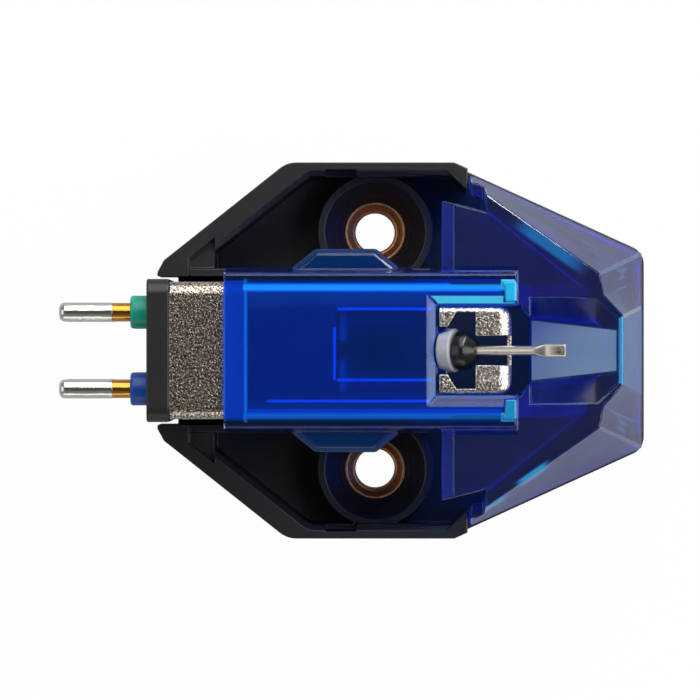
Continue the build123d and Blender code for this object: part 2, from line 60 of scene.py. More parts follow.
# %% [markdown]
# ## Small tools
# Colours are easiest to choose as the hex values of a colour picker, but a renderer adds
# light in linear numbers, so one function turns the one into the other. A second function
# adds a node to a tree: it sets what it is given and links what is already a socket.

# %% Colour and node helpers
def linear(hex_colour, alpha=1.0):
    """Linear colour of an sRGB hex value such as 2b2f50."""
    parts = [int(hex_colour[i:i + 2], 16) / 255 for i in (0, 2, 4)]
    bent = [c / 12.92 if c <= 0.04045 else ((c + 0.055) / 1.055) ** 2.4 for c in parts]
    return (*bent, alpha)


def add(tree, kind, sockets=None, **settings):
    """New node of a kind, with its settings, its socket values and its links."""
    node = tree.nodes.new(kind)
    for name, value in settings.items():
        setattr(node, name, value)
    for key, value in (sockets or {}).items():
        if isinstance(value, bpy.types.NodeSocket):
            tree.links.new(value, node.inputs[key])
        else:
            node.inputs[key].default_value = value
    return node


def new_finish(name):
    """Empty material with its tree, its output node and the piece's own coordinates."""
    material = bpy.data.materials.new(name)
    material.use_nodes = True
    tree = material.node_tree
    tree.nodes.clear()
    out = add(tree, "ShaderNodeOutputMaterial")
    place = add(tree, "ShaderNodeTexCoord").outputs["Object"]
    print("finish:", name)
    return material, tree, out, place


def per_mm(size):
    """Texture scale that gives a pattern with features of this size in millimetres."""
    return 1 / (size * MM)


print("mid grey in linear light:", round(linear("808080")[0], 3))

# %% [markdown]
# ## The photographer's view
# The cartridge lies on its headshell face and the camera looks straight down at the
# stylus. A long lens from far away keeps the sides almost parallel, as a macro shot does.

# %% Camera
LENS_PIXELS = 8053
IMAGE_PIXELS = 700
VIEW_HEIGHT = 436 * MM
VIEW_CENTRE = (-1.354 * MM, 0.027 * MM)

camera_data = bpy.data.cameras.new("overhead camera")
camera_data.sensor_width = 36
camera_data.lens = LENS_PIXELS / IMAGE_PIXELS * camera_data.sensor_width
camera_data.clip_start = 0.01
camera = bpy.data.objects.new("overhead camera", camera_data)
camera.location = (*VIEW_CENTRE, VIEW_HEIGHT)
bpy.context.scene.collection.objects.link(camera)
bpy.context.scene.camera = camera
bpy.context.scene.view_settings.view_transform = "Standard"
print("lens", round(camera_data.lens), "mm")

# %% [markdown]
# ## Table and light
# A shop photograph of this kind stands on a white sweep. A large softbox hangs on the far
# side. A narrow hot strip to its right draws the thin white line along the nose's far edge, a
# long box ahead of the nose lights its facets, and weak cards close the other two sides.
# Straight above there is only the dark camera, so flat faces stay dark and every rounded edge
# shows a bright line. The sweep is drawn white for the camera and keeps a faint shadow.

# %% White sweep
SWEEP_SIZE = 3.0
SWEEP_DROP = 0.02 * MM
SWEEP_GLOW = 1.03
WHITE_FOR_CAMERA = 0.95
WHITE_IN_MIRRORS = 0.2


def sweep_finish():
    """Matt white card that the camera sees as plain white, and mirrors as white in soft shadow."""
    material, tree, out, place = new_finish("matt white card")
    card = add(tree, "ShaderNodeBsdfDiffuse", {"Color": linear("9a9a9a")})
    white = add(tree, "ShaderNodeEmission", {"Color": (1, 1, 1, 1), "Strength": SWEEP_GLOW})
    path = add(tree, "ShaderNodeLightPath")
    mirror = add(tree, "ShaderNodeMath", {
        0: path.outputs["Is Glossy Ray"], 1: path.outputs["Is Transmission Ray"]}, operation="MAXIMUM")
    dim = add(tree, "ShaderNodeMath", {0: mirror.outputs[0], 1: WHITE_IN_MIRRORS}, operation="MULTIPLY")
    full = add(tree, "ShaderNodeMath", {
        0: path.outputs["Is Camera Ray"], 1: WHITE_FOR_CAMERA}, operation="MULTIPLY")
    share = add(tree, "ShaderNodeMath", {0: dim.outputs[0], 1: full.outputs[0]}, operation="MAXIMUM")
    shade = add(tree, "ShaderNodeMixShader", {
        0: share.outputs[0], 1: card.outputs[0], 2: white.outputs[0]})
    tree.links.new(shade.outputs[0], out.inputs["Surface"])
    return material


half = SWEEP_SIZE / 2
sweep_mesh = bpy.data.meshes.new("white_sweep")
sweep_mesh.from_pydata(
    [(x, y, -SWEEP_DROP) for x, y in ((-half, -half), (half, -half), (half, half), (-half, half))],
    [], [(0, 1, 2, 3)])
sweep_mesh.materials.append(sweep_finish())
sweep = bpy.data.objects.new("white_sweep", sweep_mesh)
bpy.context.scene.collection.objects.link(sweep)
print("sweep:", SWEEP_SIZE, "m across")

# %% Soft lamps
def soft_lamp(name, place, size, glow):
    """Rectangular lamp that faces the cartridge. Glow is its brightness, where 1 is white."""
    data = bpy.data.lights.new(name, "AREA")
    data.shape = "RECTANGLE"
    data.size, data.size_y = size
    data.energy = glow * pi * size[0] * size[1]
    lamp = bpy.data.objects.new(name, data)
    lamp.location = place
    lamp.rotation_mode = "QUATERNION"
    lamp.rotation_quaternion = (-Vector(place)).to_track_quat("-Z", "X")
    bpy.context.scene.collection.objects.link(lamp)
    print(name, "glows at", glow)


soft_lamp("far softbox", (0.0, 0.23, 0.19), (0.34, 0.24), 2.35)
soft_lamp("hot strip", (0.13, 0.20, 0.14), (0.22, 0.03), 20.0)
soft_lamp("nose box", (0.22, 0.0, 0.17), (0.36, 0.14), 3.2)
soft_lamp("near card", (0.0, -0.26, 0.10), (0.12, 0.32), 1.0)
soft_lamp("tail card", (-0.22, 0.0, 0.18), (0.18, 0.24), 0.9)

# %% Grey room with a dark camera overhead
ROOM_GREY = 0.20
OVERHEAD_DARK = 0.05
DARK_FROM = cos(radians(34))
DARK_FULL = cos(radians(8))

world = bpy.data.worlds.new("grey room")
world.use_nodes = True
room = world.node_tree
room.nodes.clear()
direction = add(room, "ShaderNodeTexCoord").outputs["Generated"]
height = add(room, "ShaderNodeSeparateXYZ", {0: direction}).outputs["Z"]
level = add(room, "ShaderNodeMapRange", {
    "Value": height, "From Min": DARK_FROM, "From Max": DARK_FULL,
    "To Min": ROOM_GREY, "To Max": OVERHEAD_DARK})
sky = add(room, "ShaderNodeBackground", {"Color": (1, 1, 1, 1), "Strength": level.outputs[0]})
add(room, "ShaderNodeOutputWorld", {"Surface": sky.outputs[0]})
bpy.context.scene.world = world
print("lamps:", len(bpy.data.lights))

# %% [markdown]
# ## Finishes
# Each finish starts from what the real material is. The housing is black ABS from a spark
# eroded mould, which gives a fine satin grain. The holder is dyed, polished polycarbonate:
# clear plastic whose colour is in its depth, so thin walls are bright blue and thick ones navy.

# %% Black ABS
INSERT_LOW, INSERT_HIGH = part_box("thread_inserts")
INSERT_RADIUS = INSERT_HIGH.x / MM
SCREW_AXIS = INSERT_HIGH.y / MM - INSERT_RADIUS
INSERT_TOP = INSERT_HIGH.z / MM
SINK_REACH = 2.75
SINK_DEPTH = 1.25


def black_abs(name, dark, pale):
    """Black ABS with a satin mould grain, and lathe rings round the two screw sinks."""
    material, tree, out, place = new_finish(name)
    grain = add(tree, "ShaderNodeTexNoise", {"Vector": place, "Scale": per_mm(0.11), "Detail": 3.0})
    cloud = add(tree, "ShaderNodeTexNoise", {"Vector": place, "Scale": per_mm(2.5), "Detail": 2.0})
    tone = add(tree, "ShaderNodeMix", {
        0: cloud.outputs[0], 6: linear(dark), 7: linear(pale)}, data_type="RGBA")
    shine = add(tree, "ShaderNodeMapRange", {
        "Value": grain.outputs[0], "To Min": 0.30, "To Max": 0.48})
    axes = add(tree, "ShaderNodeSeparateXYZ", {0: place})
    across = add(tree, "ShaderNodeMath", {0: axes.outputs["Y"]}, operation="ABSOLUTE")
    from_axis = add(tree, "ShaderNodeMath", {
        0: across.outputs[0], 1: SCREW_AXIS * MM}, operation="SUBTRACT")
    flat = add(tree, "ShaderNodeCombineXYZ", {0: axes.outputs["X"], 1: from_axis.outputs[0]})
    radius = add(tree, "ShaderNodeVectorMath", {
        0: flat.outputs[0]}, operation="LENGTH").outputs["Value"]
    rings = add(tree, "ShaderNodeTexNoise", {
        "W": radius, "Scale": per_mm(0.13), "Detail": 1.0}, noise_dimensions="1D")
    near = add(tree, "ShaderNodeMath", {0: radius, 1: SINK_REACH * MM}, operation="LESS_THAN")
    low = add(tree, "ShaderNodeMath", {
        0: axes.outputs["Z"], 1: (INSERT_TOP + SINK_DEPTH) * MM}, operation="LESS_THAN")
    sunk = add(tree, "ShaderNodeMath", {0: near.outputs[0], 1: low.outputs[0]}, operation="MULTIPLY")
    cut = add(tree, "ShaderNodeMath", {0: rings.outputs[0], 1: sunk.outputs[0]}, operation="MULTIPLY")
    relief = add(tree, "ShaderNodeMath", {
        0: grain.outputs[0], 1: 0.15, 2: cut.outputs[0]}, operation="MULTIPLY_ADD")
    bump = add(tree, "ShaderNodeBump", {
        "Height": relief.outputs[0], "Strength": 0.6, "Distance": 0.04 * MM})
    shade = add(tree, "ShaderNodeBsdfPrincipled", {
        "Base Color": tone.outputs[2], "Roughness": shine.outputs[0],
        "Normal": bump.outputs[0], "IOR": 1.53})
    tree.links.new(shade.outputs[0], out.inputs["Surface"])
    return material


print("screws", round(2 * SCREW_AXIS, 2), "mm apart")

# %% [markdown]
# ## Light in the blue plastic
# Clear plastic carries light inside its walls and lets it out at corners and bevels, so those
# glow paler than the faces between them. A renderer finds few of these long paths, so this glow
# is painted light in the finish: painted bands along the sleeve's corners, painted streaks along
# the nose's slanted corners, and a painted glow value on each face. Where the glow is painted,
# the plastic is paler and less clear.

# %% Painted glow bands along the sleeve
CHEEK_END = 7.4
ROOF_FROM = 15.0
LEAD_END, LEAD_HALF = -6.8, 0.13
BAND_REACH = 3.75
BAND_CORE = 0.3
# Painted glow bands, which stand in for the light that the roof's corners let out.
BANDS = [
    ("lit corner", "Y", 3.29, 0.26, 0.50), ("lit shoulder", "Y", 3.0, 1.0, 0.05),
    ("far corner", "Y", -3.42, 0.26, 0.22), ("far shoulder", "Y", -3.2, 0.7, 0.03),
    ("end of the lead-in", "X", LEAD_END, LEAD_HALF, 0.24)]


def brightest(tree, glows):
    """Socket with the largest of several glows."""
    top = glows[0]
    for glow in glows[1:]:
        top = add(tree, "ShaderNodeMath", {0: top, 1: glow}, operation="MAXIMUM").outputs[0]
    return top


def painted_band_glow(tree, axes, across):
    """Painted glow of the roof's corners: axis, middle, half width and strength of each soft band."""
    glows = []
    for title, axis, middle, half_width, bright in BANDS:
        away = add(tree, "ShaderNodeMath", {
            0: axes.outputs[axis], 1: middle * MM}, operation="SUBTRACT")
        distance = add(tree, "ShaderNodeMath", {0: away.outputs[0]}, operation="ABSOLUTE")
        band = add(tree, "ShaderNodeMapRange", {
            "Value": distance.outputs[0], "From Min": BAND_CORE * half_width * MM,
            "From Max": half_width * MM, "To Min": bright, "To Max": 0.0},
            interpolation_type="SMOOTHSTEP")
        glows.append(band.outputs[0])
    glow = brightest(tree, glows)
    for place, limit, side in (
            (axes.outputs["X"], CHEEK_END, "LESS_THAN"), (across.outputs[0], BAND_REACH, "LESS_THAN"),
            (axes.outputs["Z"], ROOF_FROM, "GREATER_THAN"),
            (axes.outputs["X"], LEAD_END - LEAD_HALF, "GREATER_THAN")):
        within = add(tree, "ShaderNodeMath", {0: place, 1: limit * MM}, operation=side)
        glow = add(tree, "ShaderNodeMath", {
            0: glow, 1: within.outputs[0]}, operation="MULTIPLY").outputs[0]
    return glow


print("bands along the sleeve:", len(BANDS))

# %% Painted glow streaks along the nose
CHEEK_START = Vector((5.44, 8.44, 0))
CHEEK_STOP = Vector((11.71, 4.05, 0))
STREAK_LOW, STREAK_HIGH = 9.6, 11.4
STREAK_CORE = 0.4
# Painted glow streaks, which stand in for the light that the nose's corners let out.
STREAKS = [
    ("lit cheek", 1, 2.1, 7.3, 0.35, 0.40, 0.30), ("lit corner", 1, -0.8, 0.4, -0.15, 0.40, 0.60),
    ("far cheek", -1, 2.1, 4.7, -0.02, 0.30, 0.62), ("far corner", -1, -0.9, 2.0, -0.22, 0.34, 0.66)]


def painted_streak_glow(tree, axes, across):
    """Painted glow along the nose's corners: side, from, to, inset, half width and strength of each streak.
    """
    run = (CHEEK_STOP - CHEEK_START).normalized()
    inward = Vector((run.y, -run.x, 0))
    plan = add(tree, "ShaderNodeCombineXYZ", {0: axes.outputs["X"], 1: across.outputs[0]})
    start = add(tree, "ShaderNodeVectorMath", {
        0: plan.outputs[0], 1: CHEEK_START * MM}, operation="SUBTRACT")
    along = add(tree, "ShaderNodeVectorMath", {0: start.outputs[0], 1: run}, operation="DOT_PRODUCT")
    inset = add(tree, "ShaderNodeVectorMath", {
        0: start.outputs[0], 1: inward}, operation="DOT_PRODUCT")
    high = add(tree, "ShaderNodeMapRange", {
        "Value": axes.outputs["Z"], "From Min": STREAK_LOW * MM, "From Max": STREAK_HIGH * MM})
    glows = []
    for title, side, begin, end, middle, half_width, bright in STREAKS:
        kept = add(tree, "ShaderNodeMath", {
            0: axes.outputs["Y"], 1: 0.0}, operation="GREATER_THAN" if side > 0 else "LESS_THAN")
        glow = add(tree, "ShaderNodeMath", {0: kept.outputs[0], 1: bright}, operation="MULTIPLY")
        shares = [high]
        spans = ((along, (end + begin) / 2, (end - begin) / 2), (inset, middle, half_width))
        for place, centre, reach in spans:
            away = add(tree, "ShaderNodeMath", {
                0: place.outputs["Value"], 1: centre * MM}, operation="SUBTRACT")
            distance = add(tree, "ShaderNodeMath", {0: away.outputs[0]}, operation="ABSOLUTE")
            shares.append(add(tree, "ShaderNodeMapRange", {
                "Value": distance.outputs[0], "From Min": STREAK_CORE * reach * MM,
                "From Max": reach * MM, "To Min": 1.0, "To Max": 0.0},
                interpolation_type="SMOOTHSTEP"))
        for share in shares:
            glow = add(tree, "ShaderNodeMath", {
                0: glow.outputs[0], 1: share.outputs[0]}, operation="MULTIPLY")
        glows.append(glow.outputs[0])
    return brightest(tree, glows)


print("streaks along the nose:", len(STREAKS))

# %% Dyed polycarbonate
# Body blue, the paler cyan of the painted glow, and the white of the painted reflection on the trough floor.
BODY_BLUE, PAINTED_GLOW_CYAN, PAINTED_REFLECTION_WHITE = "167ce7", "2cd2ff", "d0d0d8"
DYE_COLOUR, DYE_DENSITY = "00c5f8", 2600.0
SLEEVE_HALF = 4.42
NOSE_FROM = 3.0
FLOW_WIDTH = 1.6
SLEEVE_SKIN, NOSE_SKIN, FLOW_HAZE = 0.12, 0.27, 0.07
FROSTED, POLISHED = 0.6, 0.09
SLEEVE_CLEAR, NOSE_CLEAR, PAINTED_GLOW_CLEAR = 0.968, 0.99, 0.05


def on_nose(tree, axes, across):
    """Socket that is 1 on the nose and its wings, and 0 on the sleeve."""
    beside = add(tree, "ShaderNodeMath", {
        0: across.outputs[0], 1: SLEEVE_HALF * MM}, operation="GREATER_THAN")
    forward = add(tree, "ShaderNodeMath", {
        0: axes.outputs["X"], 1: NOSE_FROM * MM}, operation="GREATER_THAN")
    wing = add(tree, "ShaderNodeMath", {
        0: beside.outputs[0], 1: forward.outputs[0]}, operation="MULTIPLY")
    ahead = add(tree, "ShaderNodeMath", {
        0: axes.outputs["X"], 1: CHEEK_END * MM}, operation="GREATER_THAN")
    return brightest(tree, [wing.outputs[0], ahead.outputs[0]])


def dyed_polycarbonate():
    """Dyed clear plastic: a polished sleeve, a nose with a fine frost, painted glow at its corners and
    bevels, and a painted pale reflection on the trough floor.
    """
    material, tree, out, place = new_finish("dyed polycarbonate")
    flow = add(tree, "ShaderNodeTexNoise", {
        "Vector": place, "Scale": per_mm(FLOW_WIDTH), "Detail": 2.0})
    axes = add(tree, "ShaderNodeSeparateXYZ", {0: place})
    across = add(tree, "ShaderNodeMath", {0: axes.outputs["Y"]}, operation="ABSOLUTE")
    nose = on_nose(tree, axes, across)
    face = {mark: add(tree, "ShaderNodeAttribute", attribute_name=mark).outputs["Fac"]
            for mark in ("face_painted_glow", "matt", "frost", "rolled")}
    # Painted glow: the largest of the faces' stored glow, the painted bands and the painted streaks.
    painted_glow_level = brightest(tree, [
        face["face_painted_glow"], painted_band_glow(tree, axes, across), painted_streak_glow(tree, axes, across)])
    # Painted glow turns the body blue toward a paler cyan.
    dyed = add(tree, "ShaderNodeMix", {
        0: painted_glow_level, 6: linear(BODY_BLUE), 7: linear(PAINTED_GLOW_CYAN)}, data_type="RGBA")
    # Painted pale reflection: the trough floor's matt value mixes in a pale white.
    tone = add(tree, "ShaderNodeMix", {
        0: face["matt"], 6: dyed.outputs[2], 7: linear(PAINTED_REFLECTION_WHITE)}, data_type="RGBA")
    skin = add(tree, "ShaderNodeMapRange", {"Value": nose, "To Min": SLEEVE_SKIN, "To Max": NOSE_SKIN})
    haze = add(tree, "ShaderNodeMath", {
        0: flow.outputs[0], 1: FLOW_HAZE, 2: skin.outputs[0]}, operation="MULTIPLY_ADD")
    veiled = add(tree, "ShaderNodeMix", {0: face["frost"], 2: haze.outputs[0], 3: FROSTED})
    shine = add(tree, "ShaderNodeMix", {0: face["rolled"], 2: veiled.outputs[0], 3: POLISHED})
    body = add(tree, "ShaderNodeMapRange", {
        "Value": nose, "To Min": SLEEVE_CLEAR, "To Max": NOSE_CLEAR})
    # Where glow is painted, the plastic is less clear, so the painted colour shows.
    clear = add(tree, "ShaderNodeMix", {0: painted_glow_level, 2: body.outputs[0], 3: PAINTED_GLOW_CLEAR})
    bump = add(tree, "ShaderNodeBump", {
        "Height": flow.outputs[0], "Strength": 0.15, "Distance": 0.05 * MM})
    plastic = add(tree, "ShaderNodeBsdfPrincipled", {
        "Base Color": tone.outputs[2], "Roughness": shine.outputs[0], "IOR": 1.49,
        "Transmission Weight": clear.outputs[0], "Normal": bump.outputs[0]})
    open_way = add(tree, "ShaderNodeBsdfTransparent")
    path = add(tree, "ShaderNodeLightPath")
    shade = add(tree, "ShaderNodeMixShader", {
        0: path.outputs["Is Shadow Ray"], 1: plastic.outputs[0], 2: open_way.outputs[0]})
    dye = add(tree, "ShaderNodeVolumeAbsorption", {
        "Color": linear(DYE_COLOUR), "Density": DYE_DENSITY})
    tree.links.new(shade.outputs[0], out.inputs["Surface"])
    tree.links.new(dye.outputs[0], out.inputs["Volume"])
    return material


# %% [markdown]
# ## Metals, rubbers and the diamond
# The can is nickel plate on coarse-rolled steel, and each crystal catches the light by itself.
# The sleeve has rubbed it even where it slides. The pins are tin plate with a gilt band, the
# inserts turned brass and the arm drawn aluminium: all are one noise, stretched along the tool's
# path. Rubber and moulded plastic differ by tone, gloss and the size of their skin.

# %% Nickel plate
RUBBED_FROM, RUBBED_FULL = -7.8, -7.3
RUBBED = 0.85
EVEN_SHARE = 0.38
CRYSTAL = 0.11


def nickel_plate(name, dark, pale, relief, rubbed=0.0):
    """Nickel over coarse-rolled steel: a grain of brown and beige facets, rubbed even by the sleeve."""
    material, tree, out, place = new_finish(name)
    crystal = add(tree, "ShaderNodeTexNoise", {
        "Vector": place, "Scale": per_mm(CRYSTAL), "Detail": 2.0, "Roughness": 0.65})
    rough = add(tree, "ShaderNodeMapRange", {
        "Value": crystal.outputs[0], "From Min": 0.42, "From Max": 0.64})
    along = add(tree, "ShaderNodeSeparateXYZ", {0: place}).outputs["X"]
    worn = add(tree, "ShaderNodeMapRange", {
        "Value": along, "From Min": RUBBED_FROM * MM, "From Max": RUBBED_FULL * MM, "To Max": rubbed})
    share = add(tree, "ShaderNodeMix", {0: worn.outputs[0], 2: rough.outputs[0], 3: EVEN_SHARE})
    tone = add(tree, "ShaderNodeMix", {
        0: share.outputs[0], 6: linear(dark), 7: linear(pale)}, data_type="RGBA")
    depth = add(tree, "ShaderNodeMath", {
        0: worn.outputs[0], 1: -relief, 2: relief}, operation="MULTIPLY_ADD")
    bump = add(tree, "ShaderNodeBump", {
        "Height": crystal.outputs[0], "Strength": depth.outputs[0], "Distance": 0.03 * MM})
    shade = add(tree, "ShaderNodeBsdfPrincipled", {
        "Base Color": tone.outputs[2], "Metallic": 1.0, "Roughness": 0.24, "Normal": bump.outputs[0]})
    tree.links.new(shade.outputs[0], out.inputs["Surface"])
    return material


# %% Pin plating
GILT_FROM = -13.85


def pin_plating():
    """Bright tin plate with a gilt band beside the collar, lightly drawn along the pin."""
    material, tree, out, place = new_finish("tin plate with a gilt band")
    along = add(tree, "ShaderNodeSeparateXYZ", {0: place}).outputs["X"]
    gilt = add(tree, "ShaderNodeMath", {0: along, 1: GILT_FROM * MM}, operation="GREATER_THAN")
    tone = add(tree, "ShaderNodeMix", {
        0: gilt.outputs[0], 6: linear("e9e6e1"), 7: linear("d89c44")}, data_type="RGBA")
    stretched = add(tree, "ShaderNodeMapping", {"Vector": place, "Scale": (0.15, 1.0, 1.0)})
    drawn = add(tree, "ShaderNodeTexNoise", {
        "Vector": stretched.outputs[0], "Scale": per_mm(0.10), "Detail": 2.0})
    shine = add(tree, "ShaderNodeMapRange", {
        "Value": drawn.outputs[0], "To Min": 0.10, "To Max": 0.26})
    bump = add(tree, "ShaderNodeBump", {
        "Height": drawn.outputs[0], "Strength": 0.25, "Distance": 0.02 * MM})
    shade = add(tree, "ShaderNodeBsdfPrincipled", {
        "Base Color": tone.outputs[2], "Metallic": 1.0, "Roughness": shine.outputs[0],
        "Normal": bump.outputs[0]})
    tree.links.new(shade.outputs[0], out.inputs["Surface"])
    return material


# %% Turned, drawn and rolled metals
SKIN_DEPTH = 0.03
METAL_SPREAD, PLASTIC_SPREAD = 0.06, 0.07


def plain_metal(name, dark, pale, grain_mm, stretch, roughness, relief):
    """Bare metal whose tool marks are a noise, drawn out along one of the piece's own axes."""
    material, tree, out, place = new_finish(name)
    marks_place = add(tree, "ShaderNodeMapping", {"Vector": place, "Scale": stretch})
    marks = add(tree, "ShaderNodeTexNoise", {
        "Vector": marks_place.outputs[0], "Scale": per_mm(grain_mm), "Detail": 2.0})
    tone = add(tree, "ShaderNodeMix", {
        0: marks.outputs[0], 6: linear(dark), 7: linear(pale)}, data_type="RGBA")
    shine = add(tree, "ShaderNodeMapRange", {
        "Value": marks.outputs[0], "To Min": roughness - METAL_SPREAD,
        "To Max": roughness + METAL_SPREAD})
    bump = add(tree, "ShaderNodeBump", {
        "Height": marks.outputs[0], "Strength": relief, "Distance": SKIN_DEPTH * MM})
    shade = add(tree, "ShaderNodeBsdfPrincipled", {
        "Base Color": tone.outputs[2], "Metallic": 1.0, "Roughness": shine.outputs[0],
        "Normal": bump.outputs[0]})
    tree.links.new(shade.outputs[0], out.inputs["Surface"])
    return material


# %% Plain plastics and rubbers
def plain_plastic(name, dark, pale, grain_mm, roughness, relief):
    """Moulded plastic or rubber: an uneven tone and a fine skin at one grain size."""
    material, tree, out, place = new_finish(name)
    skin = add(tree, "ShaderNodeTexNoise", {"Vector": place, "Scale": per_mm(grain_mm), "Detail": 3.0})
    tone = add(tree, "ShaderNodeMix", {
        0: skin.outputs[0], 6: linear(dark), 7: linear(pale)}, data_type="RGBA")
    shine = add(tree, "ShaderNodeMapRange", {
        "Value": skin.outputs[0], "To Min": roughness - PLASTIC_SPREAD,
        "To Max": roughness + PLASTIC_SPREAD})
    bump = add(tree, "ShaderNodeBump", {
        "Height": skin.outputs[0], "Strength": relief, "Distance": SKIN_DEPTH * MM})
    shade = add(tree, "ShaderNodeBsdfPrincipled", {
        "Base Color": tone.outputs[2], "Roughness": shine.outputs[0],
        "Normal": bump.outputs[0], "IOR": 1.5})
    tree.links.new(shade.outputs[0], out.inputs["Surface"])
    return material


# %% Diamond
def cut_diamond():
    """Ground diamond: clear, strongly refracting, with a faint straw tint."""
    material, tree, out, place = new_finish("ground diamond")
    marks = add(tree, "ShaderNodeTexNoise", {"Vector": place, "Scale": per_mm(0.05), "Detail": 1.0})
    tone = add(tree, "ShaderNodeMix", {
        0: marks.outputs[0], 6: linear("cfc9b8"), 7: linear("f4f0e4")}, data_type="RGBA")
    shade = add(tree, "ShaderNodeBsdfPrincipled", {
        "Base Color": tone.outputs[2], "Roughness": 0.05, "IOR": 2.417, "Transmission Weight": 1.0})
    tree.links.new(shade.outputs[0], out.inputs["Surface"])
    return material


# %% [markdown]
# ## Softer corners
# A drawing has knife edges and a moulding never has. Each moulded or pressed piece is
# copied from the frame, its triangles are joined back into flat faces, and a narrow bevel
# rolls every corner, which is what catches the light in the photograph. A bevel keeps the
# piece's size, where rounding it by subdivision would shrink it.

# %% Hand-over and settling
def hand_over(piece, body, slot, finish, *nodes):
    """Gives a finished piece its material, its body and the nodes that it stands for."""
    piece.data.materials.clear()
    piece.data.materials.append(finish)
    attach(piece, body)
    if nodes:
        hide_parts(*nodes)
    print(piece.name, "has", len(piece.data.polygons), "faces")
    return piece


def new_piece(name, form):
    """Object at the origin with a smooth-shaded mesh from an edited form."""
    mesh = bpy.data.meshes.new(name)
    form.to_mesh(mesh)
    form.free()
    mesh.polygons.foreach_set("use_smooth", [True] * len(mesh.polygons))
    piece = bpy.data.objects.new(name, mesh)
    bpy.context.scene.collection.objects.link(piece)
    return piece


def settle(piece):
    """Works the piece's modifiers into a plain mesh."""
    graph = bpy.context.evaluated_depsgraph_get()
    mesh = bpy.data.meshes.new_from_object(piece.evaluated_get(graph))
    mesh.name = piece.name
    piece.modifiers.clear()
    piece.data = mesh
    return piece


# %% [markdown]
# ### Faces with painted glow
# The bevel puts its own faces in a second material slot, which tells rolled corners from drawn
# faces until the finish is set. On the blue holder each face then gets four values: how much
# painted glow it carries, how polished a corner it is, whether the mould left it frosted, and
# how much painted pale reflection it carries.
# A face is known by where it lies, in millimetres, and by which way it looks.

# %% Faces with painted glow
ROLLED = 1
# Painted glow: a little on every rolled corner and more on the trough floor, which also gets a share of
# painted pale reflection.
EDGE_GLOW = 0.04
TROUGH_GLOW = 0.45
PAINTED_REFLECTION_SHARE = 0.5
TAB_END = 5.5
SLEEVE_POLISH = 0.2
UNDERSIDE = -0.5
TURN_SLACK = 0.01
# Faces that get painted glow: title, lowest and highest place in millimetres, lowest and highest normal, and
# glow strength.
PAINTED_GLOW_FACES = [
    ("vault, lit side", (-8, 2.9, 14.5), (7, 3.7, 15.4), (0, -0.7, -1), (0, -0.2, -0.2), 0.8),
    ("vault, far side", (-8, -3.7, 14.5), (7, -2.9, 15.4), (0, 0.2, -1), (0, 0.7, -0.2), 0.6),
    ("lead-in", (-8, -4.3, 15.4), (-6.7, 4.3, 15.7), (0, 0, -1), (0, 0, -0.9), 0.25),
    ("window bevel, lit side", (3, 2.4, 15.5), (7.4, 3.0, 16), (0, -0.9, 0.3), (0, -0.4, 0.9), 1.0),
    ("window bevel, rear", (2.6, -3, 15.5), (3.3, 3, 16), (0.4, 0, 0.3), (0.9, 0, 0.9), 0.15),
    ("clip, lit side", (6.4, 2.5, 15.965), (7.5, 3.7, 16.2), (-1, -1, -1), (1, 1, 1), 0.75),
    ("clip, far side", (6.4, -3.7, 15.965), (7.5, -2.5, 16.2), (-1, -1, -1), (1, 1, 1), 0.5),
    ("lip", (12.6, -1.8, 15), (13.1, 1.8, 15.2), (-1, -1, 0.2), (1, 1, 1), 0.55),
    ("trough floor", (8.1, -1.9, 12.5), (12.7, 1.9, 14.8), (-0.6, -0.1, 0.8), (0, 0.1, 1), TROUGH_GLOW),
    ("front facet", (12.9, -6, 8), (14.6, 6, 15.1), (0.4, -0.3, 0.1), (1, 0.3, 0.9), 0.22),
    ("front corners", (11.5, -9, 8), (14.6, 9, 15.1), (0.25, -0.95, 0.1), (0.85, 0.95, 0.9), 0.08),
    ("upper tab", (-4.5, 4.35, 10), (1, 5.8, 16), (-1, -1, -1), (1, 1, 1), 0.06),
    ("lower tab", (-4.5, -5.8, 10), (1, -4.35, 16), (-1, -1, -1), (1, 1, 1), 0.12),
]


def set_faces(mesh, name, values):
    """Stores one value on each face of a mesh."""
    mesh.attributes.new(name, "FLOAT", "FACE").data.foreach_set("value", values)


def mark_painted_glow_faces(piece):
    """Gives each face of the blue holder its painted glow, its polish, its frost and its share of painted
    pale reflection.
    """
    mesh = piece.data
    glow, polish = [], []
    for face in mesh.polygons:
        spot, rolled = face.center / MM, face.material_index == ROLLED
        value = EDGE_GLOW if rolled else 0.0
        for title, low, high, turn_low, turn_high, bright in PAINTED_GLOW_FACES:
            placed = all(a <= c <= b for a, c, b in zip(low, spot, high))
            turned = all(a - TURN_SLACK <= c <= b + TURN_SLACK
                         for a, c, b in zip(turn_low, face.normal, turn_high))
            if placed and turned:
                value = bright
        glow.append(value)
        forward = spot.x > CHEEK_END or abs(spot.y) > TAB_END
        polish.append((1.0 if forward else SLEEVE_POLISH) if rolled else 0.0)
    under = [float(f.normal.z < UNDERSIDE and f.center.z > ROOF_FROM * MM) for f in mesh.polygons]
    set_faces(mesh, "face_painted_glow", glow)
    set_faces(mesh, "rolled", polish)
    set_faces(mesh, "frost", under)
    # The trough floor gets a painted pale reflection, stored as its matt value.
    set_faces(mesh, "matt", [PAINTED_REFLECTION_SHARE if value == TROUGH_GLOW else 0.0 for value in glow])
    # Counts the faces with more painted glow than a rolled corner.
    print("faces that gather light:", sum(value > EDGE_GLOW for value in glow))


# %% [markdown]
# ### Clean bevels
# Where three short edges meet, a bevel can throw a point off the piece. Each point that has
# left the drawn surface is set back on it. The shading then follows the drawn faces, so that
# flat faces look flat and only the rolled corners turn.

